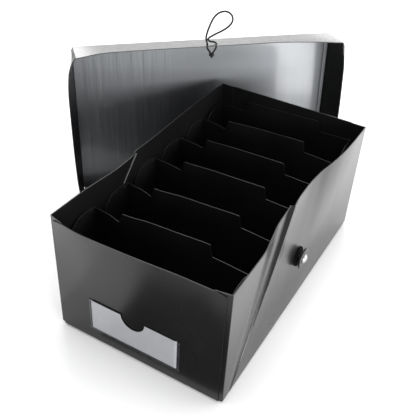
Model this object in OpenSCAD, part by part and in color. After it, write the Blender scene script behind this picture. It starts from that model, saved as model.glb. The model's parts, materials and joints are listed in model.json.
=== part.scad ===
// Flat-pack archival box for index cards and photo prints: an open tray with
// tabbed dividers, a loose lid and a button with an elastic loop.
// +X is the button side, -Y the short front wall with the label pocket, +Z up.
// The origin is the centre of the tray's underside.

/* [Tray] */
// Outer width of the tray across its short walls
body_w = 165; // [160:1:180]
// Outer length of the tray along its long walls
body_l = 285; // [280:1:300]
// Height of the tray walls
body_h = 122; // [118:1:130]
// Thickness of the tray and lid sheet
sheet_t = 1; // [0.8:0.1:1.2]
// Outer radius of the folds round the base
fold_r = 3; // [2:0.5:4]
// Width of the welded corner flaps inside the short walls
flap_w = 14; // [10:1:20]
// Height of the front wall that stays flat below its bow
front_flat_h = 50; // [50:1:60]
// Distance from the front of the right wall's diagonal crease at the rim
right_crease_y = 119; // [100:1:121]
// Distance from the front of the left wall's diagonal crease at the rim
left_crease_y = 112; // [100:1:121]
// Distance that the crease's rear edge lies behind its front edge
crease_gap = 3.5; // [3:0.5:5]
// Depth that the front panel tucks in at the crease
tuck = 2.6; // [1.5:0.1:3]

/* [Label pocket] */
// Width of the pocket's window
label_w = 85; // [80:1:90]
// Height of the pocket's window
label_h = 33; // [30:1:35]
// Height of the window's lower edge above the base
label_z = 16; // [14:0.5:18]
// Centre of the pocket, left of the tray's middle
label_shift = 3.5; // [0:0.5:5]
// Width of the welded border round three sides
weld_w = 2.5; // [2:0.5:3]
// Thickness of the pocket film
film_t = 0.4; // [0.3:0.1:0.5]
// Space between the film and the wall
pocket_gap = 0.8; // [0.6:0.1:1]
// Width of the thumb notch
notch_w = 23.5; // [20:0.5:26]

/* [Button] */
// Diameter of the button's disc
button_d = 20; // [18:1:22]
// Thickness of the button's disc
button_t = 2; // [1.8:0.1:2.4]
// Diameter of the neck that the loop hooks round
neck_d = 9; // [8:0.5:10]
// Length of that neck
neck_l = 2.4; // [2.2:0.1:3]
// Diameter of the washer between the wall and the neck
washer_d = 19.2; // [17:0.2:19.2]
// Thickness of that washer
washer_t = 0.7; // [0.5:0.1:0.7]
// Diameter of the rivet's shank
shank_d = 4; // [3.5:0.1:4]
// Diameter of the rivet's domed cap
cap_d = 9.5; // [9:0.5:10]
// Height of the dome
cap_h = 2.4; // [2:0.1:3]
// Distance of the rivet behind the front wall
button_y = 140.5; // [138:0.5:145]
// Height of the rivet above the base
button_z = 54.5; // [50:0.5:60]

/* [Dividers] */
// Width of a divider over its two wings
divider_w = 149; // [146:1:149]
// Height of a divider's shoulders
shoulder_h = 97.2; // [94:0.1:98]
// Height of the tab above the shoulders
tab_rise = 11.5; // [10:0.5:12]
// Width of the tab at its foot
tab_w = 89; // [80:1:90]
// Slope of the tab's two ends
tab_slope = 3.5; // [2:0.5:4]
// Length of the wings
wing_l = 36; // [30:1:36]
// Radius of the wings' top corner
wing_r = 20; // [15:1:24]
// Rise of the wings' top edge above the shoulders
wing_crown = 3; // [2:0.5:4]
// Thickness of the divider sheet
divider_t = 0.8; // [0.6:0.1:0.9]

/* [Lid] */
// Outer length of the lid
lid_l = 288; // [287:1:290]
// Outer width of the lid
lid_w = 168; // [167:1:170]
// Depth of the lid's flanges
lid_h = 40; // [38:1:42]
// Turn of the standing lid from the tray's short walls, in degrees
lid_yaw = 44.8; // [44.5:0.1:45]
// Backward lean of the standing lid, in degrees
lid_lean = 6.1; // [5:0.1:7]
// Diameter of the elastic cord
cord_d = 2; // [1.5:0.1:2]
// Diameter of the two holes that the cord runs through
cord_hole_d = 2.8; // [2.6:0.1:3]

/* [Hidden] */
$fn = 48;
eps = 0.01;
clearance = 0.3;
black = [0.05, 0.05, 0.055];
frost = [0.66, 0.67, 0.69];
steel = [0.75, 0.75, 0.77];

// Distance of each divider's face behind the front wall, and of its left wing
// from the tray's left side. The long walls bow in, so the places differ. The
// last divider leans to the left, so its right side stands off the base.
divider_y = [50, 95.5, 145, 191, 238, 280.9];
divider_x = [3.4, 5.4, 5, 3, 2.6, 5.6];
divider_roll = [0, 0, 0, 0, 0, 2];

// The lid's lower flange lies on the surface under the tray's rear left corner.
lid_foot = [-197.7, 30.9, -sheet_t - clearance];

// Bow of each wall at the rim: [place along it as a share, millimetres].
// In the long walls a positive bow is inward, and in the front wall outward.
right_front_bow = [[0, 0], [0.25, 0.5], [0.42, 0.8], [0.6, 3.6], [0.8, 6], [0.93, 6.2], [1, 6.2]];
right_rear_bow = [[0, 6.2], [0.1, 7.8], [0.22, 8.2], [0.36, 7], [0.5, 3.6], [0.66, 0.9], [0.82, 0.1], [1, 0]];
left_front_bow = [[0, 0], [0.35, 0.8], [0.52, 2.2], [0.7, 3.2], [0.86, 2.2], [1, 0.8]];
left_rear_bow = [[0, 0.8], [0.15, 0.8], [0.35, 0], [0.6, -1.2], [0.8, -1.4], [1, 0]];
front_bow = [[0, 0], [0.1, 4], [0.22, 6], [0.44, 5.2], [0.6, 4], [0.75, 2.6], [0.9, 2.2], [1, 0]];
tuck_share = [[0, 0], [0.5, 0], [0.8, 0.6], [1, 1]];

// Places of the mesh columns along the walls
front_share = [0.22, 0.33, 0.44, 0.6, 0.75];
panel_share = [0.25, 0.42, 0.52, 0.6, 0.7, 0.8, 0.87, 0.93, 1];
rear_share = [0, 0.05, 0.1, 0.22, 0.36, 0.5, 0.66, 0.82, 0.92];
crease_foot_y = 9;
corner_y = 4.5;
step_w = 0.3;
wall_levels = 8;
fold_levels = 3;

// ---- Tray --------------------------------------------------------------

// Share of the rim's bow that a wall has at height z
function bow_share(z) = pow(max(z, 0) / body_h, 1.5);
// Share of the crease's tuck at height z
function tuck_at(z) = tuck * pow(max(z, 0) / body_h, 0.7);
function crease_y(z, top) = crease_foot_y + z * (top - crease_foot_y) / body_h;
function front_panel_in(u, z, bow) = lookup(u, bow) * bow_share(z) + lookup(u, tuck_share) * tuck_at(z);
function front_out(u, z) = lookup(u, front_bow) * pow(max(0, z - front_flat_h) / (body_h - front_flat_h), 1.5);

// Points on one long wall at height z, from front to rear: [inward, y]
function long_wall(z, crease, front, rear) = concat(
    [for (u = panel_share) [front_panel_in(u, z, front), corner_y + u * (crease - corner_y)]],
    [for (v = rear_share)
        [lookup(v, rear) * bow_share(z), crease + crease_gap + v * (body_l - crease - crease_gap)]]);

function reversed(list) = [for (i = [len(list) - 1 : -1 : 0]) list[i]];

// Stations round the tray at height z: [x, y, inward x, inward y], where the
// inward pair is 1, or 2 where a corner flap doubles the sheet.
function front_stations(z) = concat(
    [[0, 0, 1, 2], [flap_w, -front_out(flap_w / body_w, z), 0, 2],
     [flap_w + step_w, -front_out((flap_w + step_w) / body_w, z), 0, 1]],
    [for (u = front_share) [u * body_w, -front_out(u, z), 0, 1]],
    [[body_w - flap_w - step_w, -front_out(1 - (flap_w + step_w) / body_w, z), 0, 1],
     [body_w - flap_w, -front_out(1 - flap_w / body_w, z), 0, 2], [body_w, 0, -1, 2]]);
function right_stations(z) =
    [for (p = long_wall(z, crease_y(z, right_crease_y), right_front_bow, right_rear_bow))
        [body_w - p[0], p[1], -1, 0]];
function rear_stations(z) = [[body_w, body_l, -1, -2], [body_w - flap_w, body_l, 0, -2],
    [body_w - flap_w - step_w, body_l, 0, -1], [flap_w + step_w, body_l, 0, -1],
    [flap_w, body_l, 0, -2], [0, body_l, 1, -2]];
function left_stations(z) = reversed(
    [for (p = long_wall(z, crease_y(z, left_crease_y), left_front_bow, left_rear_bow))
        [p[0], p[1], 1, 0]]);
function tray_stations(z) = concat(front_stations(z), right_stations(z), rear_stations(z), left_stations(z));

// One ring of points at height z, moved in by inset and by the sheet's layers
function sign0(v) = v > 0 ? 1 : v < 0 ? -1 : 0;
function ring(stations, z, inset, layer) = [for (s = stations)
    [s[0] + sign0(s[2]) * inset + s[2] * layer, s[1] + sign0(s[3]) * inset + s[3] * layer, z]];

// Heights and insets of the rings, from the base up round the fold to the rim
function fold_ring(k, r) = let (a = 90 * k / fold_levels) [r * (1 - cos(a)), r * (1 - sin(a))];
function outer_levels(r, h, n) = concat([for (k = [0 : fold_levels]) fold_ring(k, r)],
    [for (k = [1 : n]) [r + (h - r) * k / n, 0]]);
function inner_levels(r, h, n, t) = concat(
    [for (k = [0 : fold_levels]) let (f = fold_ring(k, r - t)) [t + f[0], f[1]]],
    [for (k = [1 : n]) [r + (h - r) * k / n, 0]]);

// Faces of a cup whose points are its outer rings, its inner rings and the
// middles of its two floors
function skin_faces(n, rings, start, flip) = [for (j = [0 : rings - 2], i = [0 : n - 1])
    let (a = start + j * n + i, b = start + j * n + (i + 1) % n, c = b + n, d = a + n)
    for (f = [[a, c, b], [a, d, c]]) flip ? reversed(f) : f];
function rim_faces(n, rings) = let (o = (rings - 1) * n, q = (2 * rings - 1) * n)
    [for (i = [0 : n - 1]) let (k = (i + 1) % n)
        for (f = [[o + i, q + k, o + k], [o + i, q + i, q + k]]) f];
function cup_faces(n, rings) = concat(
    skin_faces(n, rings, 0, false), skin_faces(n, rings, rings * n, true), rim_faces(n, rings),
    [for (i = [0 : n - 1]) [i, (i + 1) % n, 2 * rings * n]],
    [for (i = [0 : n - 1]) [rings * n + (i + 1) % n, rings * n + i, 2 * rings * n + 1]]);

module tray_sheet() {
    outer = outer_levels(fold_r, body_h, wall_levels);
    inner = inner_levels(fold_r, body_h, wall_levels, sheet_t);
    points = concat(
        [for (l = outer) each ring(tray_stations(l[0]), l[0], l[1], 0)],
        [for (l = inner) each ring(tray_stations(l[0]), l[0], l[1], sheet_t)],
        [[body_w / 2, body_l / 2, 0], [body_w / 2, body_l / 2, sheet_t]]);
    polyhedron(points, cup_faces(len(tray_stations(0)), len(outer)), convexity = 6);
}

module body_tray() {
    color(black)
    translate([-body_w / 2, -body_l / 2, 0])
    difference() {
        tray_sheet();
        translate([body_w - 15, button_y, button_z]) rotate([0, 90, 0]) cylinder(r = shank_d / 2 + 0.1, h = 25);
    }
}

// ---- Label pocket -------------------------------------------------------

module label_pocket() {
    outer_w = label_w + 2 * weld_w;
    outer_h = label_h + weld_w;
    color(frost)
    translate([-label_shift - outer_w / 2, -body_l / 2 - 0.05, label_z - weld_w])
    rotate([90, 0, 0]) {
        translate([0, 0, pocket_gap - eps])
        linear_extrude(film_t)
        difference() {
            square([outer_w, outer_h]);
            translate([outer_w / 2, outer_h]) circle(d = notch_w);
        }
        linear_extrude(pocket_gap)
        difference() {
            square([outer_w, outer_h]);
            translate([weld_w, weld_w]) square([label_w, label_h + 1]);
        }
    }
}

// ---- Button and rivet ---------------------------------------------------

// Outer face of the right wall at the rivet, from the tray's middle plane
function rear_place(y, z) = let (start = crease_y(z, right_crease_y) + crease_gap)
    (y - start) / (body_l - start);
function wall_at(z) = body_w / 2 - lookup(rear_place(button_y, z), right_rear_bow) * bow_share(z);
wall_x = wall_at(button_z);
wall_lean = atan((wall_at(button_z - 5) - wall_at(button_z + 5)) / 10);
washer_gap = 0.45;
button_gap = 1.7;
button_x = wall_x + button_gap;
disc_x = neck_l + button_t;

module at_rivet() {
    translate([button_x, button_y - body_l / 2, button_z]) rotate([0, 90, 0]) children();
}

// Lies along the wall, which leans in towards its rim
module button_washer() {
    bore = shank_d / 2 + 0.15;
    color(black)
    translate([wall_x + washer_gap, button_y - body_l / 2, button_z])
    rotate([0, 90 - wall_lean, 0])
    rotate_extrude() translate([bore, 0]) square([washer_d / 2 - bore, washer_t]);
}

module button_disc() {
    edge = button_t / 2;
    bore = shank_d / 2 + 0.08;
    color(black)
    at_rivet()
    rotate_extrude() {
        translate([bore, 0]) square([neck_d / 2 - bore, neck_l + eps]);
        translate([bore, neck_l]) square([button_d / 2 - edge - bore, button_t]);
        intersection() {
            translate([button_d / 2 - edge, neck_l + edge]) circle(r = edge);
            translate([button_d / 2 - edge, neck_l]) square([edge, button_t]);
        }
    }
}

module rivet_cap() {
    dome_r = (cap_d * cap_d / 4 + cap_h * cap_h) / (2 * cap_h);
    color(steel)
    at_rivet()
    translate([0, 0, disc_x + 0.05])
    difference() {
        rotate_extrude()
        intersection() {
            translate([0, cap_h - dome_r]) circle(r = dome_r);
            square([cap_d / 2, cap_h]);
        }
        translate([0, 0, -1]) cylinder(d = shank_d + 0.04, h = 2.2);
    }
}

module rivet_post() {
    head_d = 10;
    head_t = 0.8;
    head_z = -button_gap - sheet_t - 0.35 - head_t;
    color(steel)
    at_rivet() {
        translate([0, 0, head_z]) cylinder(d = head_d, h = head_t);
        translate([0, 0, head_z + head_t - eps]) cylinder(d = shank_d, h = disc_x + 1.1 - head_z - head_t);
    }
}

// ---- Dividers -----------------------------------------------------------

module divider_face() {
    tab_x = (divider_w - tab_w) / 2 - 1.5;
    polygon([[0, 0], [divider_w, 0], [divider_w, shoulder_h], [tab_x + tab_w, shoulder_h],
        [tab_x + tab_w - tab_slope, shoulder_h + tab_rise], [tab_x + tab_slope, shoulder_h + tab_rise],
        [tab_x, shoulder_h], [0, shoulder_h]]);
}

// Side view of a wing: the fold is at 0 and the free edge at wing_l
module wing_face() {
    rise_l = 10;
    top = shoulder_h + wing_crown;
    polygon(concat([[0, 0], [wing_l, 0]],
        [for (a = [0 : 15 : 90]) [wing_l - wing_r + wing_r * cos(a), top - wing_r + wing_r * sin(a)]],
        [for (a = [90 : -22.5 : 0]) [rise_l * a / 90, shoulder_h + wing_crown * sin(a)]]));
}

module divider(index) {
    color(black)
    translate([divider_x[index] - body_w / 2, divider_y[index] - body_l / 2, sheet_t + clearance])
    rotate([0, -divider_roll[index], 0]) {
        translate([0, divider_t, 0]) rotate([90, 0, 0]) linear_extrude(divider_t) divider_face();
        for (x = [0, divider_w - divider_t])
            translate([x + divider_t, eps, 0]) rotate([90, 0, -90]) linear_extrude(divider_t) wing_face();
    }
}

module divider_1() { divider(0); }
module divider_2() { divider(1); }
module divider_3() { divider(2); }
module divider_4() { divider(3); }
module divider_5() { divider(4); }
module divider_6() { divider(5); }

// ---- Lid ----------------------------------------------------------------

// The lid's own frame: x along it, -y out of its hollow, z up its panel.
module stand_lid() {
    translate(lid_foot) rotate([0, 0, lid_yaw]) rotate([-lid_lean, 0, 0]) children();
}

// How far each flange springs open at its free edge: [share along it, mm]
top_open = [[0, 0], [0.12, 4.2], [0.3, 4.7], [0.7, 4.7], [0.86, 3], [1, 0]];
left_open = [[0, 4.5], [0.2, 8], [0.5, 9.4], [0.75, 9.6], [0.9, 7.6], [1, 1]];
right_open = [[0, 2], [0.5, 4.6], [0.8, 3.6], [1, 0]];
lid_share = [0.12, 0.22, 0.3, 0.42, 0.5, 0.6, 0.7, 0.78, 0.86];
side_share = [0.2, 0.35, 0.5, 0.65, 0.75, 0.83, 0.9];
lid_levels = 3;

// Stations round the lid at distance d out of its panel, seen from inside
function lid_stations(d) = let (o = d / lid_h, foot = d * tan(lid_lean)) concat(
    [[-lookup(0, left_open) * o, -foot, 1, 1]],
    [for (u = lid_share) [u * lid_l, -foot, 0, 1]],
    [[lid_l + lookup(0, right_open) * o, -foot, -1, 1]],
    [for (u = side_share) [lid_l + lookup(u, right_open) * o, u * lid_w, -1, 0]],
    [[lid_l, lid_w, -1, -1]],
    [for (u = reversed(lid_share)) [u * lid_l, lid_w + lookup(u, top_open) * o, 0, -1]],
    [[-lookup(1, left_open) * o, lid_w, 1, -1]],
    [for (u = reversed(side_share)) [-lookup(u, left_open) * o, u * lid_w, 1, 0]]);

module lid_sheet() {
    outer = outer_levels(fold_r, lid_h, lid_levels);
    inner = inner_levels(fold_r, lid_h, lid_levels, sheet_t);
    points = concat(
        [for (l = outer) each ring(lid_stations(l[0]), l[0], l[1], 0)],
        [for (l = inner) each ring(lid_stations(l[0]), l[0], l[1], sheet_t)],
        [[lid_l / 2, lid_w / 2, 0], [lid_l / 2, lid_w / 2, sheet_t]]);
    rotate([90, 0, 0]) polyhedron(points, cup_faces(len(lid_stations(0)), len(outer)), convexity = 6);
}

hole_x = [136, 146];
hole_out = 33;

module lid_tray() {
    color(black)
    stand_lid()
    difference() {
        lid_sheet();
        for (x = hole_x)
            translate([x, -hole_out, lid_w - 4]) cylinder(d = cord_hole_d, h = 14);
    }
}

// Route of the cord in the lid's frame, as [along, out, up]: from the knot
// inside the flange, up through one hole, round the loop and back
cord_route = [
    [139.8, 33, 162.6], [138, 33, 165.5], [136.4, 33, 168.3], [136, 33, 171], [136, 33, 173.5],
    [135, 33.3, 176.5], [134.6, 33.7, 180], [135.6, 34, 185], [137.6, 34, 190.5], [140, 34, 196],
    [142.8, 34, 200.3], [146.5, 34, 203.6], [151, 34, 205.2], [155.5, 34, 205], [159.5, 34, 202.8],
    [161.9, 34, 199], [161.8, 34, 194.8], [159.2, 34, 191], [155.3, 34, 188], [150.8, 34, 185.6],
    [146, 33.6, 183.4], [141.5, 32.8, 181], [138.2, 31.6, 178.6], [137.6, 30.8, 176.4], [139.6, 30.8, 174.7],
    [142.8, 31.6, 174.2], [145.2, 32.6, 173.2], [146, 33, 171.3], [145.6, 33, 168.4], [144, 33, 165.5],
    [142.2, 33, 162.6]];
cord_sides = 8;

function unit(v) = v / norm(v);
function place(p) = [p[0], -p[1], p[2]];
function heading(pts, i) = unit(pts[min(i + 1, len(pts) - 1)] - pts[max(i - 1, 0)]);
// A side direction that is carried along the route without twisting
function carry(side, dir) = unit(side - dir * (side * dir));
function sides(pts, i, side) = let (s = carry(side, heading(pts, i)))
    i == len(pts) - 1 ? [s] : concat([s], sides(pts, i + 1, s));

module tube(pts, r, n) {
    side = sides(pts, 0, [0, 1, 0]);
    last = len(pts) - 1;
    points = [for (i = [0 : last]) let (d = heading(pts, i), s = side[i], t = cross(d, s))
        for (k = [0 : n - 1]) pts[i] + r * (s * cos(360 * k / n) + t * sin(360 * k / n))];
    faces = concat(
        [for (j = [0 : last - 1], i = [0 : n - 1])
            let (a = j * n + i, b = j * n + (i + 1) % n, c = b + n, d = a + n)
            for (f = [[a, c, b], [a, d, c]]) f],
        [[for (i = [0 : n - 1]) i]], [[for (i = [n - 1 : -1 : 0]) last * n + i]]);
    polyhedron(points, faces, convexity = 6);
}

module elastic_loop() {
    color(black) stand_lid() tube([for (p = cord_route) place(p)], cord_d / 2, cord_sides);
}

module loop_knot() {
    knot_r = 2.8;
    color(black)
    stand_lid()
    translate([141, -33, 163.5 - knot_r - 0.1]) sphere(r = knot_r);
}

body_tray();
label_pocket();
button_washer();
button_disc();
rivet_cap();
rivet_post();
divider_1();
divider_2();
divider_3();
divider_4();
divider_5();
divider_6();
lid_tray();
elastic_loop();
loop_knot();
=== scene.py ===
# Looks of the archival box: an open black tray with tabbed dividers, a label
# pocket, a riveted button and a loose lid that stands behind it. All lengths are
# in metres, in the frame that the CAD model uses.
import json
import math
import bmesh
import bpy
from mathutils import Matrix, Vector


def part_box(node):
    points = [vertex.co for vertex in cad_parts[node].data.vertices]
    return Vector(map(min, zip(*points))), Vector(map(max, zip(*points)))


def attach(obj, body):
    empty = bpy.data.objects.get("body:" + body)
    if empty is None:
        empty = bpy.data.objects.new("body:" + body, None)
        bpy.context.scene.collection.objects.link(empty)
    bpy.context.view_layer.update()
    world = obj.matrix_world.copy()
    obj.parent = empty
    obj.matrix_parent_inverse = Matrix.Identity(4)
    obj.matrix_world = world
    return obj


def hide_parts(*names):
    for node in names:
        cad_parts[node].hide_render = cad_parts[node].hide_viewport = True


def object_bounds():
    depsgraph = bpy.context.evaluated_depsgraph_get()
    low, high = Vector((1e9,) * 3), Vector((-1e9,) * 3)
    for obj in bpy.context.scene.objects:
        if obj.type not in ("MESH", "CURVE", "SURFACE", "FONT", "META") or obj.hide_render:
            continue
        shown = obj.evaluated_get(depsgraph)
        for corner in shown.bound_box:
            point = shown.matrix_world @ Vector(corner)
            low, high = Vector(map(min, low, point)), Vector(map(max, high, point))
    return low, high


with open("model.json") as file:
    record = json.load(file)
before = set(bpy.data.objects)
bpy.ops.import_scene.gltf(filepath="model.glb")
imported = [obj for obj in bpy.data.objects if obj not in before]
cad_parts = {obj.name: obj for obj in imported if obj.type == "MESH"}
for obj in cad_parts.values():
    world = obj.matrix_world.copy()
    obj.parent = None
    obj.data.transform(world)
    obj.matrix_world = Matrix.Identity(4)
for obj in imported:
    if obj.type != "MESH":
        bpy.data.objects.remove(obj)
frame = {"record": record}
cad_lo, cad_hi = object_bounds()
MM = 0.001
# Points closer than this are one point
MERGE = 0.02 * MM

# ---- Places and sizes ------------------------------------------------------

RECORD = frame["record"]
FLOOR_Z = cad_lo.z
SHEET_T = 0.8 * MM
TRAY_W = 165 * MM
LID_YAW = math.radians(44.8)
LID_LEAN = math.radians(6.1)
LID_L = 288 * MM
LID_W = 168 * MM
LID_H = 40 * MM
CORD_D = 2 * MM


def mount_at(name):
    return Vector(next(m["pos_m"] for m in RECORD["mounts"] if m["name"] == name))


# The lid's own frame: x along it, -y out of its hollow, z up its panel
LID_TURN = Matrix.Rotation(LID_YAW, 4, "Z") @ Matrix.Rotation(-LID_LEAN, 4, "X")
SHELF_POINT = Vector((LID_L / 2, -LID_H / 2, -LID_H / 2 * math.tan(LID_LEAN)))
LID_FRAME = Matrix.Translation(mount_at("shelf_rest") - LID_TURN @ SHELF_POINT) @ LID_TURN


# ---- Curves and meshes -----------------------------------------------------

def clamp01(t):
    return min(max(t, 0.0), 1.0)


def smoothstep(t):
    t = clamp01(t)
    return t * t * (3 - 2 * t)


def through(points, t):
    """Value at t of a smooth curve through [place, value] points, without overshoot."""
    places = [p[0] for p in points]
    values = [p[1] for p in points]
    if t <= places[0]:
        return values[0]
    if t >= places[-1]:
        return values[-1]
    spans = range(len(points) - 1)
    rises = [(values[i + 1] - values[i]) / (places[i + 1] - places[i]) for i in spans]
    k = max(i for i in spans if places[i] <= t)

    def slope(i):
        if i == 0:
            return rises[0]
        if i == len(rises):
            return rises[-1]
        before, after = rises[i - 1], rises[i]
        return 0.0 if before * after <= 0 else 2 * before * after / (before + after)

    width = places[k + 1] - places[k]
    s = (t - places[k]) / width
    return ((2 * s**3 - 3 * s**2 + 1) * values[k] + (s**3 - 2 * s**2 + s) * width * slope(k)
            + (3 * s**2 - 2 * s**3) * values[k + 1] + (s**3 - s**2) * width * slope(k + 1))


def spline_points(points, steps):
    """Catmull-Rom line through the points, with steps pieces between each pair."""
    pts = [Vector(p) for p in points]
    pts = [2 * pts[0] - pts[1]] + pts + [2 * pts[-1] - pts[-2]]
    line = []
    for i in range(1, len(pts) - 2):
        a, b, c, d = pts[i - 1:i + 3]
        for k in range(steps):
            t = k / steps
            line.append(0.5 * (2 * b + (c - a) * t + (2 * a - 5 * b + 4 * c - d) * t**2
                               + (3 * b - a - 3 * c + d) * t**3))
    return line + [pts[-2]]


def add_grid(bm, rows, material=0, closed=False):
    """Faces between rows of points."""
    made = [[bm.verts.new(p) for p in row] for row in rows]
    for low, high in zip(made, made[1:]):
        n = len(low)
        for i in range(n if closed else n - 1):
            k = (i + 1) % n
            bm.faces.new((low[i], low[k], high[k], high[i])).material_index = material
    return made


def object_from(bm, name, materials, smooth=True):
    mesh = bpy.data.meshes.new(name)
    bm.to_mesh(mesh)
    bm.free()
    for m in materials:
        mesh.materials.append(m)
    if smooth:
        mesh.shade_smooth()
    obj = bpy.data.objects.new(name, mesh)
    bpy.context.scene.collection.objects.link(obj)
    return obj


def give_thickness(obj, thickness, edge, inner_material=0, rim_material=0):
    """Turns an open surface into a sheet whose cut edges have a small chamfer."""
    solid = obj.modifiers.new("thickness", "SOLIDIFY")
    solid.thickness = thickness
    solid.offset = -1
    solid.use_even_offset = True
    solid.material_offset = inner_material
    solid.material_offset_rim = rim_material
    bevel = obj.modifiers.new("cut_edges", "BEVEL")
    bevel.width = edge
    bevel.segments = 2
    bevel.limit_method = "ANGLE"
    bevel.angle_limit = math.radians(55)
    obj.modifiers.new("normals", "WEIGHTED_NORMAL").keep_sharp = True


def apply_modifiers(obj):
    """Replaces the object's mesh by its mesh with all modifiers applied."""
    dg = bpy.context.evaluated_depsgraph_get()
    mesh = bpy.data.meshes.new_from_object(obj.evaluated_get(dg))
    obj.modifiers.clear()
    obj.data = mesh


def lathe(name, profile, material, place, axis, segments=64):
    """Solid of revolution from [radius, height] points, standing along axis."""
    bm = bmesh.new()
    rings = []
    turn = [2 * math.pi * k / segments for k in range(segments)]
    for radius, height in profile:
        if radius == 0.0:
            rings.append([bm.verts.new((0, 0, height))])
            continue
        rings.append([bm.verts.new((radius * math.cos(a), radius * math.sin(a), height)) for a in turn])
    for low, high in zip(rings, rings[1:]):
        for k in range(segments):
            n = (k + 1) % segments
            corners = [low[k % len(low)], low[n % len(low)], high[n % len(high)], high[k % len(high)]]
            unique = list(dict.fromkeys(corners))
            if len(unique) > 2:
                bm.faces.new(unique)
    bmesh.ops.recalc_face_normals(bm, faces=bm.faces)
    obj = object_from(bm, name, [material])
    obj.data.set_sharp_from_angle(angle=math.radians(50))
    turned = Vector(axis).to_track_quat("Z", "Y").to_matrix().to_4x4()
    obj.matrix_world = Matrix.Translation(place) @ turned
    return obj


def tube_rings(line, sides, radius_at):
    """Rings round a line, carried along it without twisting."""
    rings = []
    side = Vector((0, 1, 0))
    for i, point in enumerate(line):
        ahead = (line[min(i + 1, len(line) - 1)] - line[max(i - 1, 0)]).normalized()
        side = (side - ahead * side.dot(ahead)).normalized()
        other = ahead.cross(side)
        ring = []
        for k in range(sides):
            a = 2 * math.pi * k / sides
            ring.append(point + radius_at(i, k) * (side * math.cos(a) + other * math.sin(a)))
        rings.append(ring)
    return rings


# ---- Camera ----------------------------------------------------------------

CAMERA_AT = Vector((0.21267, -0.43597, 0.44097))
CAMERA_LOOK = Vector((-0.37056, 0.70523, -0.60443))
CAMERA_RIGHT = Vector((0.86502, 0.49905, 0.05195))
CAMERA_LENS = 55.84


def make_camera():
    back = -CAMERA_LOOK.normalized()
    up = back.cross(CAMERA_RIGHT).normalized()
    right = up.cross(back)
    turn = Matrix((right, up, back)).transposed().to_4x4()
    data = bpy.data.cameras.new("camera")
    data.lens = CAMERA_LENS
    data.sensor_width = 36
    data.clip_start = 0.01
    data.clip_end = 50
    cam = bpy.data.objects.new("camera", data)
    cam.matrix_world = Matrix.Translation(CAMERA_AT) @ turn
    bpy.context.scene.collection.objects.link(cam)
    bpy.context.scene.camera = cam


make_camera()


# ---- Materials -------------------------------------------------------------

class Nodes:
    """A short way to write a node tree round one Principled shader."""

    def __init__(self, name, **values):
        self.material = bpy.data.materials.new(name)
        self.material.use_nodes = True
        self.tree = self.material.node_tree
        self.shader = self.tree.nodes["Principled BSDF"]
        for key, value in values.items():
            self.shader.inputs[key.replace("_", " ")].default_value = value
        self.place = self.tree.nodes.new("ShaderNodeTexCoord").outputs["Object"]

    def add(self, kind, links=(), **settings):
        node = self.tree.nodes.new(kind)
        for key, value in settings.items():
            if hasattr(node, key):
                setattr(node, key, value)
            else:
                node.inputs[key.replace("_", " ")].default_value = value
        for socket, source in dict(links).items():
            self.tree.links.new(source, node.inputs[socket])
        return node

    def stretch(self, scale, source=None):
        node = self.add("ShaderNodeMapping", {"Vector": source or self.place})
        node.inputs["Scale"].default_value = scale
        return node.outputs["Vector"]

    def noise(self, scale, detail=3.0, roughness=0.5, source=None):
        node = self.add("ShaderNodeTexNoise", {"Vector": source or self.place}, Scale=scale,
                        Detail=detail, Roughness=roughness)
        return node.outputs["Fac"]

    def ramp(self, source, low, high, from_low=0.0, from_high=1.0):
        node = self.add("ShaderNodeMapRange", {"Value": source})
        limits = {"From Min": from_low, "From Max": from_high, "To Min": low, "To Max": high}
        for key, value in limits.items():
            node.inputs[key].default_value = value
        return node.outputs["Result"]

    def colours(self, source, dark, light):
        node = self.add("ShaderNodeValToRGB", {"Fac": source})
        node.color_ramp.elements[0].color = (*dark, 1)
        node.color_ramp.elements[1].color = (*light, 1)
        return node.outputs["Color"]

    def math(self, operation, a, b):
        node = self.add("ShaderNodeMath", operation=operation)
        for socket, value in zip(node.inputs, (a, b)):
            if isinstance(value, (int, float)):
                socket.default_value = value
            else:
                self.tree.links.new(value, socket)
        return node.outputs["Value"]

    def bump(self, height, distance, strength=1.0, normal=None):
        links = {"Height": height}
        if normal:
            links["Normal"] = normal
        return self.add("ShaderNodeBump", links, Distance=distance, Strength=strength).outputs["Normal"]

    def into(self, **sources):
        for key, source in sources.items():
            self.tree.links.new(source, self.shader.inputs[key.replace("_", " ")])
        return self.material


def sheet_material(name, dark, light, rough_low, rough_high, grain, ripple):
    """Extruded black sheet: fine grain, rubbed patches, hairline scratches and a slow ripple."""
    n = Nodes(name, IOR=1.4)
    rubbed = n.noise(14, 4, 0.6)
    scratch_a = n.noise(60, 2, 0.5, n.stretch((1, 14, 1)))
    scratch_b = n.noise(60, 2, 0.5, n.stretch((14, 1, 14)))
    scratches = n.math("MULTIPLY", n.ramp(scratch_a, 0, 1, 0.66, 0.8), n.ramp(scratch_b, 0, 1, 0.5, 0.8))
    patch = n.ramp(rubbed, rough_low, rough_high, 0.3, 0.7)
    rough = n.math("ADD", patch, n.math("MULTIPLY", scratches, 0.15))
    slow = n.bump(n.noise(9, 2, 0.4), ripple)
    fine = n.bump(n.noise(2600, 2, 0.6), grain, normal=slow)
    lined = n.bump(scratches, 0.00001, normal=fine)
    return n.into(Base_Color=n.colours(rubbed, dark, light), Roughness=rough, Normal=lined)


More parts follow.
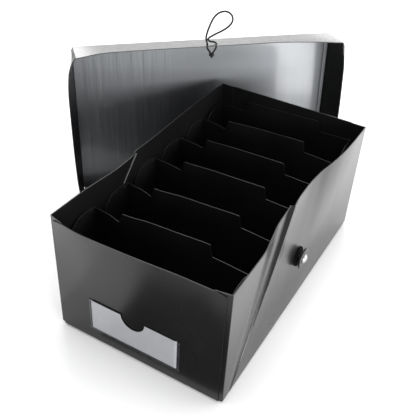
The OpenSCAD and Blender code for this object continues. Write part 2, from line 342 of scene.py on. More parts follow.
def lid_panel_material():
    """The lid's glossy inside: extrusion lines that run up the panel, and rubbed patches."""
    n = Nodes("lid_inside", IOR=2.2, Coat_Weight=1.0, Coat_Roughness=0.12, Coat_IOR=1.5,
              Specular_Tint=(0.92, 0.96, 1.0, 1))
    turned = n.add("ShaderNodeMapping", {"Vector": n.place}, vector_type="TEXTURE")
    turned.inputs["Location"].default_value = LID_FRAME.to_translation()
    turned.inputs["Rotation"].default_value = LID_FRAME.to_euler()
    along = turned.outputs["Vector"]
    lines = n.noise(1, 3, 0.55, n.stretch((130, 6, 5), along))
    fine_lines = n.noise(1, 2, 0.5, n.stretch((600, 9, 7), along))
    rubbed = n.noise(11, 4, 0.6, along)
    rough = n.math("ADD", n.ramp(rubbed, 0.36, 0.46, 0.3, 0.7), n.ramp(fine_lines, 0, 0.08, 0.4, 0.7))
    apart = n.add("ShaderNodeSeparateXYZ", {"Vector": along}).outputs["X"]
    share = n.ramp(apart, 1.0, 0.12, 0.09, 0.15)
    wide = n.bump(n.math("MULTIPLY", lines, share), 0.0005, 1.0)
    narrow = n.bump(n.math("MULTIPLY", fine_lines, share), 0.00005, 0.8, wide)
    grain = n.bump(n.noise(2600, 2, 0.6), 0.000006, normal=narrow)
    n.tree.links.new(wide, n.shader.inputs["Coat Normal"])
    return n.into(Base_Color=n.colours(rubbed, (0.010, 0.010, 0.012), (0.02, 0.02, 0.023)),
                  Roughness=rough, Normal=grain)


def cut_edge_material():
    """Die-cut edge of the sheet: matte, with the knife's fine lines across it."""
    n = Nodes("cut_edge", IOR=1.5)
    lines = n.noise(1, 2, 0.5, n.stretch((1500, 1500, 40)))
    wear = n.noise(160, 3, 0.6)
    return n.into(Base_Color=n.colours(wear, (0.004, 0.004, 0.0045), (0.010, 0.010, 0.0105)),
                  Roughness=n.ramp(wear, 0.42, 0.6), Normal=n.bump(lines, 0.00003))


def film_material():
    """Frosted pocket film: milky and finely mottled, with a soft sheen."""
    n = Nodes("frosted_film", IOR=1.49)
    mottle = n.noise(90, 4, 0.6)
    grain = n.noise(1800, 3, 0.6)
    return n.into(Base_Color=n.colours(mottle, (0.27, 0.275, 0.295), (0.325, 0.33, 0.345)),
                  Roughness=n.ramp(mottle, 0.34, 0.48), Normal=n.bump(grain, 0.00002))


def weld_material():
    """Clear film that is fused to the black wall, with the weld tool's fine knurl."""
    n = Nodes("weld_border", IOR=1.49)
    knurl = n.add("ShaderNodeTexVoronoi", {"Vector": n.place}, Scale=1600.0).outputs["Distance"]
    tint = n.noise(120, 3, 0.6)
    return n.into(Base_Color=n.colours(tint, (0.012, 0.012, 0.014), (0.03, 0.03, 0.033)),
                  Roughness=n.ramp(tint, 0.2, 0.34), Normal=n.bump(knurl, 0.00004))


def button_material():
    """Moulded black plastic, a little worn."""
    n = Nodes("button_plastic", IOR=1.42)
    wear = n.noise(300, 4, 0.6)
    return n.into(Base_Color=n.colours(wear, (0.006, 0.006, 0.007), (0.016, 0.016, 0.017)),
                  Roughness=n.ramp(wear, 0.3, 0.42, 0.3, 0.7),
                  Normal=n.bump(n.noise(1500, 2, 0.5), 0.000008))


def washer_dark_material():
    """Near-black matt finish with a fine grain, darker than the sheet round it."""
    n = Nodes("washer_near_black", IOR=1.2)
    grain = n.noise(1200, 3, 0.6)
    return n.into(Base_Color=n.colours(grain, (0.001, 0.001, 0.001), (0.003, 0.003, 0.003)),
                  Roughness=n.ramp(grain, 0.7, 0.9), Normal=n.bump(grain, 0.00002))


def steel_material():
    """Polished nickel plate with faint drawing marks."""
    n = Nodes("rivet_steel", Metallic=1.0)
    swirl = n.noise(900, 3, 0.6, n.stretch((1, 1, 6)))
    return n.into(Base_Color=n.colours(swirl, (0.30, 0.30, 0.31), (0.48, 0.48, 0.49)),
                  Roughness=n.ramp(swirl, 0.12, 0.26), Normal=n.bump(swirl, 0.000006))


def cord_material():
    """Fibres of the elastic's braided cover."""
    n = Nodes("elastic_cord", IOR=1.5, Roughness=0.8, Sheen_Weight=0.1, Sheen_Roughness=0.4)
    fibre = n.noise(4200, 3, 0.7)
    slub = n.noise(700, 2, 0.5)
    return n.into(Base_Color=n.colours(slub, (0.003, 0.003, 0.0035), (0.009, 0.009, 0.01)),
                  Normal=n.bump(fibre, 0.00003))


OUTER = sheet_material("sheet_outside", (0.006, 0.006, 0.0065), (0.010, 0.010, 0.0105),
                       rough_low=0.22, rough_high=0.29, grain=0.000008, ripple=0.0004)
INNER = sheet_material("sheet_inside", (0.003, 0.003, 0.0035), (0.006, 0.006, 0.0065),
                       rough_low=0.34, rough_high=0.46, grain=0.000008, ripple=0.0003)
DIVIDER = sheet_material("divider_sheet", (0.0025, 0.0025, 0.003), (0.0055, 0.0055, 0.006),
                         rough_low=0.36, rough_high=0.5, grain=0.00001, ripple=0.0002)
LID_INSIDE = lid_panel_material()
CUT_EDGE = cut_edge_material()
FILM = film_material()
WELD = weld_material()
BUTTON = button_material()
WASHER_BLACK = washer_dark_material()
STEEL = steel_material()
CORD = cord_material()


# ---- Elastic cord and its knot ---------------------------------------------

# The same points as the CAD model's route, in millimetres: along, out and up
CORD_ROUTE = [
    (139.8, 33, 162.6), (138, 33, 165.5), (136.4, 33, 168.3), (136, 33, 171), (136, 33, 173.5),
    (135, 33.3, 176.5), (134.6, 33.7, 180), (135.6, 34, 185), (137.6, 34, 190.5), (140, 34, 196),
    (142.8, 34, 200.3), (146.5, 34, 203.6), (151, 34, 205.2), (155.5, 34, 205), (159.5, 34, 202.8),
    (161.9, 34, 199), (161.8, 34, 194.8), (159.2, 34, 191), (155.3, 34, 188), (150.8, 34, 185.6),
    (146, 33.6, 183.4), (141.5, 32.8, 181), (138.2, 31.6, 178.6), (137.6, 30.8, 176.4), (139.6, 30.8, 174.7),
    (142.8, 31.6, 174.2), (145.2, 32.6, 173.2), (146, 33, 171.3), (145.6, 33, 168.4), (144, 33, 165.5),
    (142.2, 33, 162.6)]


def in_lid(along, out, up):
    """A point given along the lid, out of its hollow and up its panel."""
    return LID_FRAME @ Vector((along, -out, up))


def make_cord():
    steps = 14
    sides = 16
    strands = 8
    lay = 0.11
    relief = 0.05 * MM
    route = [in_lid(a * MM, o * MM, u * MM) for a, o, u in CORD_ROUTE]
    line = spline_points(route, steps)

    def radius_at(i, k):
        turn = k / sides * strands / 2
        weave = math.sin(2 * math.pi * (turn + i * lay)) * math.sin(2 * math.pi * (turn - i * lay))
        return CORD_D / 2 + relief * weave

    bm = bmesh.new()
    rings = add_grid(bm, tube_rings(line, sides, radius_at), closed=True)
    bm.faces.new(rings[0])
    bm.faces.new(rings[-1])
    bmesh.ops.recalc_face_normals(bm, faces=bm.faces)
    cord = object_from(bm, "elastic_cord", [CORD])
    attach(cord, "lid")
    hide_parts("elastic_loop")
    return cord, line


def make_knot():
    """Overhand knot: a trefoil of the cord with a flattened back."""
    size = 0.72 * MM
    strand_r = 0.9 * MM
    sides = 12
    steps = 96
    lo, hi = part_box("loop_knot")
    centre = (lo + hi) / 2
    line = []
    for i in range(steps):
        t = 2 * math.pi * i / steps
        line.append(centre + size * Vector((math.sin(t) + 2 * math.sin(2 * t), 1.3 * math.sin(3 * t),
                                            math.cos(t) - 2 * math.cos(2 * t))))
    bm = bmesh.new()
    rings = tube_rings(line, sides, lambda i, k: strand_r)
    add_grid(bm, rings + [rings[0]], closed=True)
    bmesh.ops.remove_doubles(bm, verts=bm.verts, dist=MERGE / 2)
    bmesh.ops.recalc_face_normals(bm, faces=bm.faces)
    knot = object_from(bm, "cord_knot", [CORD])
    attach(knot, "lid")
    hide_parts("loop_knot")
    return knot


cord, cord_line = make_cord()
knot = make_knot()


# ---- Floor and light -------------------------------------------------------

def make_floor():
    n = Nodes("floor_paper", Roughness=0.9, Base_Color=(0.86, 0.86, 0.86, 1))
    n.into(Normal=n.bump(n.noise(400, 3, 0.6), 0.00002))
    bm = bmesh.new()
    reach = 6.0
    add_grid(bm, [[(x, y, FLOOR_Z) for x in (-reach, reach)] for y in (-reach, reach)])
    floor = object_from(bm, "floor", [n.material], smooth=False)


def area_light(name, at, aim, width, height, radiance):
    """A soft rectangular light whose face has the given brightness."""
    data = bpy.data.lights.new(name, "AREA")
    data.shape = "RECTANGLE"
    data.size, data.size_y = width, height
    data.energy = radiance * math.pi * width * height
    light = bpy.data.objects.new(name, data)
    light.location = at
    light.rotation_mode = "QUATERNION"
    light.rotation_quaternion = (Vector(aim) - Vector(at)).to_track_quat("-Z", "Y")
    light.visible_camera = False
    bpy.context.scene.collection.objects.link(light)


def floor_card(name, at, width, depth, radiance):
    """A bright card that lies on the floor beside the object and faces up."""
    x, y = at
    area_light(name, (x, y, 0.001), (x, y, 1.0), width, depth, radiance)


def floor_flag(name, at, width, depth, material):
    """A dark card that lies on the floor and shows only in reflections."""
    x, y = at
    above = FLOOR_Z + 0.5 * MM
    xs = (x - width / 2, x + width / 2)
    ys = (y - depth / 2, y + depth / 2)
    bm = bmesh.new()
    add_grid(bm, [[(a, b, above) for a in xs] for b in ys])
    flag = object_from(bm, name, [material], smooth=False)
    flag.visible_camera = False
    flag.visible_diffuse = False
    flag.visible_shadow = False


def make_flags():
    """The dark card that shades the lower right of the tray's front wall."""
    n = Nodes("flag_card", Base_Color=(0.02, 0.02, 0.02, 1))
    n.into(Roughness=n.ramp(n.noise(300, 3, 0.6), 0.85, 0.95))
    floor_flag("front_flag", (0.065, -0.194), 0.22, 0.088, n.material)


def make_light():
    world = bpy.data.worlds.new("studio")
    bpy.context.scene.world = world
    world.use_nodes = True
    background = world.node_tree.nodes["Background"]
    background.inputs["Color"].default_value = (1.0, 1.0, 1.0, 1)
    background.inputs["Strength"].default_value = 0.85
    centre = (0.0, 0.0, 0.06)
    area_light("back_softbox", (-0.9, 1.9, 0.9), centre, 2.4, 1.0, 6.6)
    area_light("right_softbox", (1.7, 0.9, 0.8), centre, 1.2, 1.0, 4.0)
    area_light("top_softbox", (-0.2, 0.1, 1.8), centre, 1.4, 1.4, 2.6)
    area_light("front_softbox", (1.3, -0.6, 0.27), centre, 1.0, 0.5, 12.0)
    floor_card("lid_card", (0.55, -0.02), 0.5, 0.5, 4.0)
    floor_card("left_card", (-0.3, -0.3), 0.4, 0.31, 0.4)
    floor_card("right_card", (0.28, 0.2), 0.34, 0.6, 0.5)
    bpy.context.scene.view_settings.view_transform = "Standard"


make_floor()
make_flags()
make_light()


# ---- Folded blanks ---------------------------------------------------------

class Blank:
    """A die-cut sheet folded into a cup: a base, two long walls along y whose end
    flaps are welded inside two end panels. Its outer surface is made here."""

    def __init__(self, width, length, height, fold, flap, side_gap):
        self.w, self.l, self.h = width / 2, length / 2, height
        self.fold, self.flap, self.side_gap = fold, flap, side_gap
        self.lap = SHEET_T + 0.1 * MM
        self.corner = 1.0 * MM
        self.end_fold = self.lap + self.corner
        self.levels = 26
        self.base_columns = 24
        self.arc_steps = 6
        self.flap_steps = 4

    def station_y(self, side, i, z):
        """Place of column i along one long wall at height z, from the front."""
        raise NotImplementedError

    def inward(self, side, i, z):
        """How far a long wall bows in at column i and height z."""
        return 0.0

    def outward(self, end, x, z):
        """How far an end panel bows out at x and height z."""
        return 0.0

    def base_z(self, x, y):
        return 0.0

    def drop(self, x):
        """How far an end panel's rim lies below the long walls' rim."""
        return 0.0

    def wall_heights(self):
        return [self.fold + (self.h - self.fold) * k / self.levels for k in range(self.levels + 1)]

    def wall_point(self, side, i, z, inset=0.0):
        return Vector((side * (self.w - self.inward(side, i, z) - inset), self.station_y(side, i, z), z))

    def section(self, i):
        """Points across the tray at column i, from the left rim to the right rim."""
        left = [self.wall_point(-1, i, z) for z in reversed(self.wall_heights())]
        arc = []
        for k in range(1, self.arc_steps + 1):
            a = math.pi / 2 * k / self.arc_steps
            arc.append((self.fold * (1 - math.cos(a)), self.fold * (1 - math.sin(a))))
        folds = {side: [self.wall_point(side, i, z, inset) for inset, z in arc] for side in (-1, 1)}
        y = self.station_y(1, i, 0)
        base = [Vector((x, y, self.base_z(x, y))) for x in self.base_x()[1:-1]]
        return left + folds[-1] + base + list(reversed(folds[1])) + [
            self.wall_point(1, i, z) for z in self.wall_heights()]

    def base_x(self):
        edge = self.w - self.side_gap
        inner = [-edge + 2 * edge * k / self.base_columns for k in range(self.base_columns + 1)]
        return [-self.w + self.fold] + inner + [self.w - self.fold]

    def flap_rows(self, side, end, i):
        """Rows of one corner flap, from the wall's end round its fold."""
        arc = [math.pi / 2 * k / self.arc_steps for k in range(1, self.arc_steps + 1)]
        outline = [(self.w - self.corner * (1 - math.cos(a)), self.corner * math.sin(a)) for a in arc]
        flat = self.flap - self.corner
        for k in range(1, self.flap_steps + 1):
            outline.append((self.w - self.corner - flat * k / self.flap_steps, self.corner))
        rows = []
        for z in self.wall_heights():
            start = self.wall_point(side, i, z)
            row = [start]
            for x, out in outline:
                share = out / self.corner
                y = start.y + end * (out + share * self.outward(end, side * x, z))
                row.append(Vector((side * x, y, z)))
            rows.append(row)
        return rows

    def end_rows(self, end, i):
        """Rows of one end panel, from the base's end up to its rim."""
        xs = self.base_x()[1:-1]
        start = self.station_y(1, i, 0)
        rows = [[Vector((x, start, self.base_z(x, start))) for x in xs]]
        for k in range(1, self.arc_steps + 1):
            a = math.pi / 2 * k / self.arc_steps
            z = self.end_fold * (1 - math.cos(a))
            rows.append([Vector((x, start + end * self.end_fold * math.sin(a), z)) for x in xs])
        for k in range(1, self.levels + 1):
            row = []
            for x in xs:
                z = self.end_fold + (self.h - self.drop(x) - self.end_fold) * k / self.levels
                row.append(Vector((x, start + end * (self.end_fold + self.outward(end, x, z)), z)))
            rows.append(row)
        return rows

    def build(self, name, columns, materials):
        """Sheet with three materials: outside, inside and cut edge. Three more are
        for its base."""
        bm = bmesh.new()
        add_grid(bm, [self.section(i) for i in range(columns)])
        for end, i in ((-1, 0), (1, columns - 1)):
            for side in (-1, 1):
                add_grid(bm, self.flap_rows(side, end, i))
            add_grid(bm, self.end_rows(end, i))
        bmesh.ops.remove_doubles(bm, verts=bm.verts, dist=MERGE)
        bmesh.ops.recalc_face_normals(bm, faces=bm.faces)
        base_face = min(bm.faces, key=lambda f: f.calc_center_median().length)
        if base_face.normal.z > 0:
            bmesh.ops.reverse_faces(bm, faces=bm.faces)
        for f in bm.faces:
            if len(materials) > 3 and abs(f.calc_center_median().z) < self.fold / 3:
                f.material_index = 3
        obj = object_from(bm, name, materials)
        give_thickness(obj, SHEET_T, 0.14 * MM, inner_material=1, rim_material=2)
        return obj


# ---- Tray ------------------------------------------------------------------

# Bow of each wall at the rim: (place along it as a share, millimetres)
RIGHT_FRONT = [(0, 0), (0.25, 0.5), (0.42, 0.8), (0.6, 3.6), (0.8, 6), (0.93, 6.2), (1, 6.2)]
RIGHT_REAR = [(0, 6.2), (0.1, 7.8), (0.22, 8.2), (0.36, 7), (0.5, 3.6), (0.66, 0.9), (0.82, 0.1), (1, 0)]
LEFT_FRONT = [(0, 0), (0.35, 0.8), (0.52, 2.2), (0.7, 3.2), (0.86, 2.2), (1, 0.8)]
LEFT_REAR = [(0, 0.8), (0.15, 0.8), (0.35, 0), (0.6, -1.2), (0.8, -1.4), (1, 0)]
FRONT = [(0, 0), (0.1, 4), (0.22, 6), (0.44, 5.2), (0.6, 4), (0.75, 2.6), (0.9, 2.2), (1, 0)]
TUCK_SHARE = [(0, 0), (0.5, 0), (0.8, 0.6), (1, 1)]
# Section across the crease: (share of its width, share of the tuck)
CREASE = [(0, 1), (0.25, 1.3), (0.5, 1.1), (0.7, 0.4), (0.85, -0.05), (1, -0.04)]


class Tray(Blank):
    front_columns = 22
    crease_columns = 8
    rear_columns = 34
    crease_foot = 9 * MM
    crease_top = {-1: 112 * MM, 1: 119 * MM}
    crease_gap = 3.5 * MM
    tuck = 2.6 * MM
    front_flat = 50 * MM
    corner_drop = 2.8 * MM

    def columns(self):
        return self.front_columns + self.crease_columns + self.rear_columns + 1

    def crease_y(self, side, z):
        return self.crease_foot + z * (self.crease_top[side] - self.crease_foot) / self.h

    def place(self, i):
        """Which part of a long wall column i lies in, and how far along that part."""
        if i <= self.front_columns:
            return "front", i / self.front_columns
        i -= self.front_columns
        if i <= self.crease_columns:
            return "crease", i / self.crease_columns
        return "rear", (i - self.crease_columns) / self.rear_columns

    def station_y(self, side, i, z):
        part, t = self.place(i)
        crease = self.crease_y(side, z)
        if part == "front":
            y = self.end_fold + t * (crease - self.end_fold)
        elif part == "crease":
            y = crease + t * self.crease_gap
        else:
            start = crease + self.crease_gap
            y = start + t * (2 * self.l - self.end_fold - start)
        return y - self.l

    def inward(self, side, i, z):
        part, t = self.place(i)
        front, rear = (RIGHT_FRONT, RIGHT_REAR) if side > 0 else (LEFT_FRONT, LEFT_REAR)
        bow = MM * clamp01(z / self.h) ** 1.5
        tuck = self.tuck * clamp01(z / self.h) ** 0.7
        if part == "front":
            return through(front, t) * bow + through(TUCK_SHARE, t) * tuck
        if part == "crease":
            return through(front, 1) * bow + through(CREASE, t) * tuck
        return through(rear, t) * bow + through(CREASE, 1) * tuck * (1 - smoothstep(t * 12))

    def outward(self, end, x, z):
        if end > 0:
            return 0.0
        share = clamp01((z - self.front_flat) / (self.h - self.front_flat)) ** 1.5
        return through(FRONT, (x + self.w) / (2 * self.w)) * MM * share

    def drop(self, x):
        return self.corner_drop * smoothstep((abs(x) - (self.w - self.flap)) / (self.flap - self.side_gap))


def make_tray():
    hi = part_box("body_tray")[1]
    tray = Tray(width=TRAY_W, length=2 * hi.y, height=hi.z, fold=2.4 * MM, flap=14 * MM, side_gap=4 * MM)
    obj = tray.build("tray_sheet", tray.columns(), [OUTER, INNER, CUT_EDGE])
    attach(obj, "tray")
    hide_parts("body_tray")


make_tray()


# ---- Lid -------------------------------------------------------------------

# How far each flange springs open at its free edge: (share along it, millimetres)
TOP_OPEN = [(0, 0), (0.12, 4.2), (0.3, 4.7), (0.7, 4.7), (0.86, 3), (1, 0)]
LEFT_OPEN = [(0, 4.2), (0.2, 7.4), (0.5, 8.6), (0.75, 8.8), (0.9, 7), (1, 0.7)]
RIGHT_OPEN = [(0, 2), (0.5, 4.6), (0.8, 3.6), (1, 0)]


class Lid(Blank):
    """Here x runs down the panel, y along it and z out of the hollow. The panel has
    a score near one end and slow waves."""
    score_at = 283.4 * MM
    score_reach = 1.2 * MM
    score_depth = 0.35 * MM
    wave = 0.5 * MM

    def places(self):
        inside = 2 * self.l - 2 * self.end_fold
        even = [self.end_fold + inside * k / 60 for k in range(61)]
        score = [self.score_at + self.score_reach * (k / 4 - 1) for k in range(9)]
        rest = [y for y in even if abs(y - self.score_at) > self.score_reach * 1.3]
        return sorted(rest + score)

    def station_y(self, side, i, z):
        return self.stations[i] - self.l

    def inward(self, side, i, z):
        if side > 0:
            return -z * math.tan(LID_LEAN)
        return -through(TOP_OPEN, self.stations[i] / (2 * self.l)) * MM * z / self.h

    def outward(self, end, x, z):
        up = (self.w - x) / (2 * self.w)
        return through(LEFT_OPEN if end < 0 else RIGHT_OPEN, up) * MM * z / self.h

    def base_z(self, x, y):
        along = y + self.l
        score = self.score_depth * smoothstep(1 - abs(along - self.score_at) / self.score_reach)
        edge = smoothstep((self.w - abs(x)) / (30 * MM)) * smoothstep((self.l - abs(y)) / (30 * MM))
        wave = math.sin(along * 31 + x * 9) * 0.5 + math.sin(along * 13 - x * 21 + 1.1) * 0.6
        return self.wave * edge * wave - score


def make_lid():
    lid = Lid(width=LID_W, length=LID_L, height=LID_H, fold=2.4 * MM, flap=14 * MM, side_gap=2.6 * MM)
    lid.levels = 14
    lid.base_columns = 40
    lid.stations = lid.places()
    obj = lid.build("lid_sheet", len(lid.stations), [OUTER, INNER, CUT_EDGE, OUTER, LID_INSIDE, CUT_EDGE])
    to_lid = Matrix(((0, 1, 0, LID_L / 2), (0, 0, -1, 0), (-1, 0, 0, LID_W / 2), (0, 0, 0, 1)))
    obj.data.transform(LID_FRAME @ to_lid)
    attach(obj, "lid")
    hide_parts("lid_tray")


make_lid()


# ---- Dividers --------------------------------------------------------------

SHOULDER = 97.2 * MM
DIVIDER_W = 149 * MM
TAB_RISE = 11.5 * MM
TAB_W = 89 * MM
TAB_SLOPES = (5.5 * MM, 3.5 * MM)
TAB_SHIFT = 1.5 * MM
TAB_LEFT = (DIVIDER_W - TAB_W) / 2 - TAB_SHIFT
WING_ROUND = 20 * MM
WING_CROWN = 3 * MM
WING_RISE = 10 * MM
DIVIDER_T = 0.55 * MM
DIVIDER_FOLD = 0.9 * MM
PIP_PLACES = (5 * MM, 17 * MM, 27 * MM)
PIP_R = 0.9 * MM
# Bend of a divider's top edge: (place across it as a share, millimetres to the rear)
BEND = [(0, 1.8), (0.1, 0.4), (0.24, -3.8), (0.4, -1.3), (0.58, 0), (0.76, 1.4), (1, -0.8)]
# For each divider: share of that bend, millimetres that its left and right folds
# splay out at the top, and roll in degrees
DIVIDER_FORMS = [(1.1, 0.3, 2.2, 0), (1.2, 0.5, 1.5, 0), (0.8, 2.8, 0.5, 0),
                 (0.8, 1.5, 0.5, 0), (1.2, 1.8, 1, 0), (0.12, 0, 3, 2)]


def wing_top(forward, wing):
    """Height of a wing at a distance forward of its fold."""
    crown = WING_CROWN * math.sin(math.pi / 2 * clamp01(forward / WING_RISE))
    reach = clamp01((forward - wing + WING_ROUND) / WING_ROUND)
    return SHOULDER + crown - WING_ROUND * (1 - math.sqrt(1 - reach * reach))


def face_top(x):
    """Height of a divider's face at x from its left side."""
    left = (x - TAB_LEFT) / TAB_SLOPES[0]
    right = (TAB_LEFT + TAB_W - x) / TAB_SLOPES[1]
    return SHOULDER + TAB_RISE * smoothstep(min(left, right))


def strip_places(wing):
    """Places across the unfolded divider, measured from its left fold."""
    curve = [WING_ROUND * math.sin(math.pi / 2 * k / 9) for k in range(10)]
    wing_part = [WING_RISE * k / 4 for k in range(5)] + [wing - WING_ROUND + c for c in curve]
    end = TAB_LEFT + TAB_W
    tab = [TAB_LEFT + TAB_W * k / 20 for k in range(2, 19)]
    tab += [TAB_LEFT + TAB_SLOPES[0] * k / 8 for k in range(9)]
    tab += [end - TAB_SLOPES[1] * k / 8 for k in range(9)]
    shoulders = [TAB_LEFT * k / 5 for k in range(1, 5)]
    shoulders += [DIVIDER_W - (DIVIDER_W - end) * k / 5 for k in range(1, 5)]
    fold = [DIVIDER_FOLD * k / 4 for k in range(5)]
    face = tab + shoulders + fold + [DIVIDER_W - f for f in fold]
    return sorted(set([-w for w in wing_part] + face + [DIVIDER_W + w for w in wing_part]))


def make_divider(name, bend, left_splay, right_splay, roll):
    lo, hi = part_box(name)
    wing = hi.y - lo.y - DIVIDER_FOLD
    turn = Matrix.Rotation(-roll, 4, "Y")
    corner = Vector((lo.x + (SHOULDER + WING_CROWN) * math.sin(roll), hi.y, lo.z))
    rows = 10

    def surface(s, z):
        """Rear or outer face of the folded strip at place s and height z."""
        x = min(max(s, 0.0), DIVIDER_W)
        over = abs(s - x)
        inside = min(x, DIVIDER_W - x)
        share = z / SHOULDER
        back = DIVIDER_FOLD + over
        if over == 0.0 and inside < DIVIDER_FOLD:
            back = DIVIDER_FOLD * (1 - math.sin(math.acos(1 - inside / DIVIDER_FOLD)))
        elif over == 0.0:
            back = 0.0
        out = right_splay * smoothstep((x - TAB_LEFT - TAB_W) / (DIVIDER_W - TAB_LEFT - TAB_W))
        out -= left_splay * smoothstep(1 - x / TAB_LEFT)
        y = through(BEND, x / DIVIDER_W) * MM * bend * share - back
        return corner + turn @ Vector((x + out * MM * share, y, z))

    bm = bmesh.new()
    columns = []
    for s in strip_places(wing):
        over = max(-s, s - DIVIDER_W, 0.0)
        top = wing_top(over, wing) if over > 0 else face_top(s)
        columns.append([surface(s, top * (k / rows) ** 0.8) for k in range(rows + 1)])
    add_grid(bm, columns)
    bmesh.ops.remove_doubles(bm, verts=bm.verts, dist=MERGE)
    bmesh.ops.recalc_face_normals(bm, faces=bm.faces)
    middle = min(bm.faces, key=lambda f: abs(f.calc_center_median().x - (lo.x + hi.x) / 2))
    if middle.normal.y < 0:
        bmesh.ops.reverse_faces(bm, faces=bm.faces)
    obj = object_from(bm, f"{name}_sheet", [DIVIDER, CUT_EDGE])
    give_thickness(obj, DIVIDER_T, 0.1 * MM, rim_material=1)
    apply_modifiers(obj)
    pips = []
    for forward in PIP_PLACES:
        z = wing_top(forward, wing) - 3.2 * MM
        pips.append(surface(-forward, z) + Vector((DIVIDER_T, 0, 0)))
        pips.append(surface(DIVIDER_W + forward, z) - Vector((DIVIDER_T, 0, 0)))
    add_pips(obj, pips)
    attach(obj, name)
    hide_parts(name)


def add_pips(obj, places):
    """Small raised pips along the wings' curved edges, on their inner faces."""
    bm = bmesh.new()
    bm.from_mesh(obj.data)
    for place in places:
        at = Matrix.Translation(place) @ Matrix.Diagonal((0.4, 1, 1, 1))
        bmesh.ops.create_uvsphere(bm, u_segments=14, v_segments=8, radius=PIP_R, matrix=at)
    bm.to_mesh(obj.data)
    bm.free()
    obj.data.shade_smooth()


for number, (bend, left_splay, right_splay, roll) in enumerate(DIVIDER_FORMS, 1):
    make_divider(f"divider_{number}", bend, left_splay, right_splay, math.radians(roll))


# ---- Label pocket ----------------------------------------------------------

LABEL_WELD = 2.5 * MM
FILM_T = 0.3 * MM
NOTCH_R = 11.75 * MM


def make_label():
    lo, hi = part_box("label_pocket")
    wall_y = hi.y
    front_y = lo.y
    window_lo = Vector((lo.x + LABEL_WELD, 0, lo.z + LABEL_WELD))
    window_hi = Vector((hi.x - LABEL_WELD, 0, hi.z))
    middle = (lo.x + hi.x) / 2

    def top_at(x):
        across = abs(x - middle)
        return window_hi.z if across >= NOTCH_R else window_hi.z - math.sqrt(NOTCH_R**2 - across**2)

    def puff(x, z):
        """Film stands away from the wall between its welds."""
        side = min(x - window_lo.x, window_hi.x - x)
        low = z - window_lo.z
        return smoothstep(min(side, low) / (2.2 * MM))

    notch = [middle + NOTCH_R * math.sin(math.pi / 2 * k / 16) for k in range(-16, 17)]
    near = [0.0, 0.5 * MM, 1.1 * MM, 1.7 * MM, 2.3 * MM]
    xs = notch + [window_lo.x + d for d in near] + [window_hi.x - d for d in near]
    xs += [window_lo.x + (middle - NOTCH_R - window_lo.x) * k / 10 for k in range(1, 10)]
    xs += [window_hi.x - (window_hi.x - middle - NOTCH_R) * k / 10 for k in range(1, 10)]
    bm = bmesh.new()
    columns = []
    for x in sorted(set(xs)):
        zs = [window_lo.z + d for d in near]
        rest = top_at(x) - zs[-1]
        zs += [zs[-1] + rest * k / 12 for k in range(1, 13)]
        depth = front_y + FILM_T - wall_y
        columns.append([Vector((x, wall_y + depth * (0.25 + 0.72 * puff(x, z)) - FILM_T, z)) for z in zs])
    add_grid(bm, columns)
    bmesh.ops.recalc_face_normals(bm, faces=bm.faces)
    bm.faces.ensure_lookup_table()
    if bm.faces[0].normal.y > 0:
        bmesh.ops.reverse_faces(bm, faces=bm.faces)
    film = object_from(bm, "pocket_film", [FILM])
    give_thickness(film, FILM_T, 0.08 * MM)
    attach(film, "tray")
    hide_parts("label_pocket")
    make_weld(lo, hi, wall_y)


def make_weld(lo, hi, wall_y):
    """Border fused to the wall on three sides, with a raised rib along its middle."""
    # Section of the border: (share of its width, millimetres off the wall)
    profile = [(0.0, 0.05), (0.12, 0.3), (0.3, 0.32), (0.42, 0.5),
               (0.58, 0.5), (0.7, 0.32), (0.88, 0.3), (1.0, 0.05)]
    # The border's outer corners as (x, z), and the way in from each
    path = [((lo.x, hi.z), (1, 0)), ((lo.x, lo.z), (1, 1)), ((hi.x, lo.z), (-1, 1)), ((hi.x, hi.z), (-1, 0))]
    bm = bmesh.new()
    rows = []
    for (x, z), (in_x, in_z) in path:
        row = []
        for across, height in profile:
            in_by = across * LABEL_WELD
            row.append(Vector((x + in_x * in_by, wall_y - height * MM, z + in_z * in_by)))
        rows.append(row)
    add_grid(bm, rows)
    bmesh.ops.subdivide_edges(bm, edges=[e for e in bm.edges if e.calc_length() > 20 * MM], cuts=12)
    bmesh.ops.recalc_face_normals(bm, faces=bm.faces)
    bm.faces.ensure_lookup_table()
    if bm.faces[0].normal.y > 0:
        bmesh.ops.reverse_faces(bm, faces=bm.faces)
    weld = object_from(bm, "pocket_weld", [WELD])
    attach(weld, "tray")


make_label()


# ---- Button and rivet ------------------------------------------------------

def rounded(radius, low, high, edge, steps=6):
    """Profile points round the outer edge of a disc, from its back to its front."""
    arc = [math.pi / 2 * k / steps for k in range(steps + 1)]
    back = [(radius - edge * (1 - math.sin(a)), low + edge * (1 - math.cos(a))) for a in arc]
    front = [(radius - edge * (1 - math.cos(a)), high - edge * (1 - math.sin(a))) for a in arc]
    return back + front


def middle_of_back(lo, hi):
    """Middle of the face of a box that looks towards the wall."""
    return Vector((lo.x, (lo.y + hi.y) / 2, (lo.z + hi.z) / 2))


def make_button():
    """Disc with a shallow recess for the rivet's cap, on the neck that the cord hooks round."""
    lo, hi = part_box("button_disc")
    radius = (hi.z - lo.z) / 2
    depth = hi.x - lo.x
    neck = 4.5 * MM
    neck_l = 2.4 * MM
    root = 0.6 * MM
    bore = 2.1 * MM
    edge = 0.9 * MM
    recess = 0.9 * MM
    profile = [(bore, depth - recess), (bore, 0), (neck, 0), (neck, neck_l - root), (neck + root, neck_l)]
    profile += rounded(radius, neck_l, depth, edge)
    profile += [(radius - 2.2 * MM, depth - 0.02 * MM), (6.2 * MM, depth - 0.12 * MM),
                (5.6 * MM, depth - 0.3 * MM), (5.2 * MM, depth - 0.7 * MM), (bore, depth - recess)]
    disc = lathe("button_disc_moulding", profile, BUTTON, middle_of_back(lo, hi), (1, 0, 0), 72)
    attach(disc, "button")
    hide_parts("button_disc")


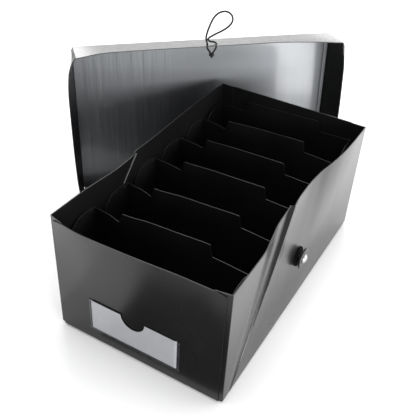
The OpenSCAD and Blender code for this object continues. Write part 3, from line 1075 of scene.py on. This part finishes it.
def make_washer():
    """Thin washer that lies along the wall, which leans in towards its rim."""
    lo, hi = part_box("button_washer")
    lean = math.radians(3.8)
    radius = (hi.y - lo.y) / 2
    half = 0.35 * MM
    bore = 2.15 * MM
    edge = 0.2 * MM
    profile = [(bore, half), (bore, -half)] + rounded(radius, -half, half, edge) + [(bore, half)]
    axis = (math.cos(lean), 0, math.sin(lean))
    # The washer's near-black matt finish draws a dark ellipse on the wall round the button's neck.
    washer = lathe("washer_disc", profile, WASHER_BLACK, (lo + hi) / 2, axis, 72)
    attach(washer, "tray")
    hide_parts("button_washer")


def make_rivet():
    """Domed cap whose skirt stands in the button's recess."""
    lo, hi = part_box("rivet_cap")
    radius = (hi.z - lo.z) / 2
    height = hi.x - lo.x
    at = middle_of_back(lo, hi)
    low = -0.55 * MM
    dome_low = low + 0.5 * MM
    steps = 14
    profile = [(0.0, low), (radius * 0.9, low), (radius, low + 0.2 * MM), (radius, low + 0.45 * MM)]
    for k in range(steps):
        a = math.pi / 2 * k / steps
        profile.append((radius * 0.96 * math.cos(a), dome_low + (height - dome_low) * math.sin(a)))
    profile.append((0.0, height))
    cap = lathe("rivet_cap_dome", profile, STEEL, at, (1, 0, 0), 64)
    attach(cap, "tray")
    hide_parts("rivet_cap")
    make_post(at)


def make_post(centre):
    """Rivet's tube and its rolled head inside the wall."""
    lo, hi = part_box("rivet_post")
    head = (hi.z - lo.z) / 2
    at = Vector((lo.x, centre.y, centre.z))
    length = hi.x - lo.x
    thick = 0.8 * MM
    shank = 2.0 * MM
    hollow = 1.3 * MM
    profile = [(0.0, 1.2 * MM), (hollow * 0.8, 1.15 * MM), (hollow, 0.5 * MM),
               (hollow + 0.4 * MM, 0.08 * MM), (hollow + 0.9 * MM, 0.0)]
    profile += rounded(head, 0.12 * MM, thick, 0.34 * MM)
    profile += [(shank + 0.2 * MM, thick), (shank, thick + 0.3 * MM), (shank, length), (0.0, length)]
    post = lathe("rivet_post_tube", profile, STEEL, at, (1, 0, 0), 48)
    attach(post, "tray")
    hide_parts("rivet_post")


make_washer()
make_button()
make_rivet()
